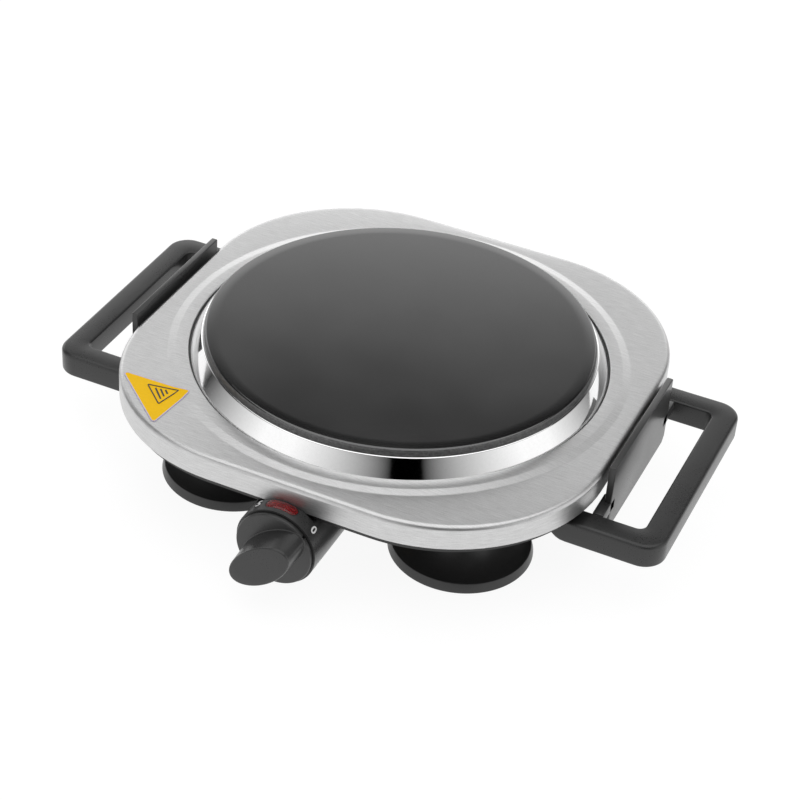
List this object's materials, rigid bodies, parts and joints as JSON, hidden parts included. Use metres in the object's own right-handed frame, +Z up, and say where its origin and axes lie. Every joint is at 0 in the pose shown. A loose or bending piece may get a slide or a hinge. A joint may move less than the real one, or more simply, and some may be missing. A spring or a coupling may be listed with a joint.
{
  "type": "hot plate burner",
  "caption": "Single electric hot plate: cast-iron disc in a chrome ring on a brushed steel body, loop handles with heat shields, cup feet, round control housing and turning knob.",
  "frame": {"origin": "on the table surface, straight under the centre of the heating plate", "axes": "+Z up through the plate's centre, +X towards the right-hand handle, -Y towards the control knob"},
  "size_m": [0.314, 0.2631, 0.069],
  "materials": {
    "cast_iron": "matte grey-black, fine grain, slightly burnished",
    "chrome_trim": "mirror polished",
    "brushed_body": "fine brushed stainless steel",
    "black_pan": "satin black enamel",
    "black_plastic": "fine textured satin",
    "black_rubber": "smooth satin rubber",
    "plated_steel": "bright zinc plate",
    "element_sheath": "heat-darkened steel sheath",
    "aluminised_steel": "dull aluminised sheet",
    "white_ceramic": "unglazed steatite",
    "fibre_board": "pressed mineral fibre",
    "warning_yellow": "printed gloss vinyl",
    "red_lens": "translucent red, polished",
    "clear_glass": "clear lamp glass",
    "cream_plastic": "heat-proof moulding",
    "brass": "plain machined",
    "contact_bronze": "spring bronze strip",
    "bimetal": "rolled strip",
    "cutout_body": "plain drawn case",
    "brown_wire": "woven sleeve",
    "red_wire": "woven sleeve",
    "blue_wire": "woven sleeve",
    "green_wire": "woven sleeve"
  },
  "bodies": {
    "base": {"heating_plate": "cast_iron", "heating_element": "element_sheath", "element_insulators": "white_ceramic", "insulating_bed": "fibre_board", "element_cover": "plated_steel", "centre_stud": "plated_steel", "stud_spacer": "plated_steel", "clamp_bridge": "plated_steel", "clamp_washer": "plated_steel", "clamp_nut": "plated_steel", "heat_reflector": "aluminised_steel", "trim_ring": "chrome_trim", "plate_gasket": "fibre_board", "top_housing": "brushed_body", "housing_posts": "plated_steel", "caution_sticker": "warning_yellow", "base_pan": "black_pan", "base_screws": "plated_steel", "left_handle": "black_plastic", "right_handle": "black_plastic", "left_shield": "black_plastic", "right_shield": "black_plastic", "handle_screws": "plated_steel", "foot_front_left": "black_rubber", "foot_front_right": "black_rubber", "foot_rear_left": "black_rubber", "foot_rear_right": "black_rubber", "foot_screws": "plated_steel", "foot_nuts": "plated_steel", "control_housing": "black_plastic", "housing_screws": "plated_steel", "rear_cover": "black_plastic", "rear_cover_screws": "plated_steel", "cord_gland": "black_rubber", "pilot_lens": "red_lens", "pilot_lamp": "clear_glass", "lamp_holder": "cream_plastic", "lamp_resistor": "white_ceramic", "thermostat_bush": "brass", "bush_nut": "plated_steel", "thermostat_frame": "plated_steel", "stack_insulators": "white_ceramic", "fixed_contact": "contact_bronze", "arm_terminal": "contact_bronze", "bimetal_strip": "bimetal", "stack_screw": "plated_steel", "thermal_cutout": "cutout_body", "cutout_clip": "plated_steel", "terminal_block": "cream_plastic", "terminal_screws": "brass", "live_wire": "brown_wire", "switched_wire": "red_wire", "neutral_wire": "blue_wire", "earth_wire": "green_wire", "earth_screw": "brass"},
    "knob": {"knob": "black_plastic", "thermostat_shaft": "plated_steel"},
    "pin": {"push_pin": "white_ceramic"},
    "contact": {"contact_arm": "contact_bronze"}
  },
  "joints": [
    {"name": "knob_turn", "type": "hinge", "parent": "base", "child": "knob", "pos_m": [0, -0.13, 0.0285], "axis": [0, 1, 0], "range_deg": [0, 270]},
    {"name": "pin_slide", "type": "slide", "parent": "base", "child": "pin", "axis": [0, -1, 0], "range_m": [0, 0.00062]},
    {"name": "contact_tilt", "type": "hinge", "parent": "base", "child": "contact", "pos_m": [0, -0.114, 0.0207], "axis": [1, 0, 0], "range_deg": [0, 4.5]}
  ],
  "couplings": [
    {"joint": "pin_slide", "follows": "knob_turn", "m_per_rad": 0.0001295},
    {"joint": "contact_tilt", "follows": "knob_turn", "ratio": 0.016666}
  ]
}
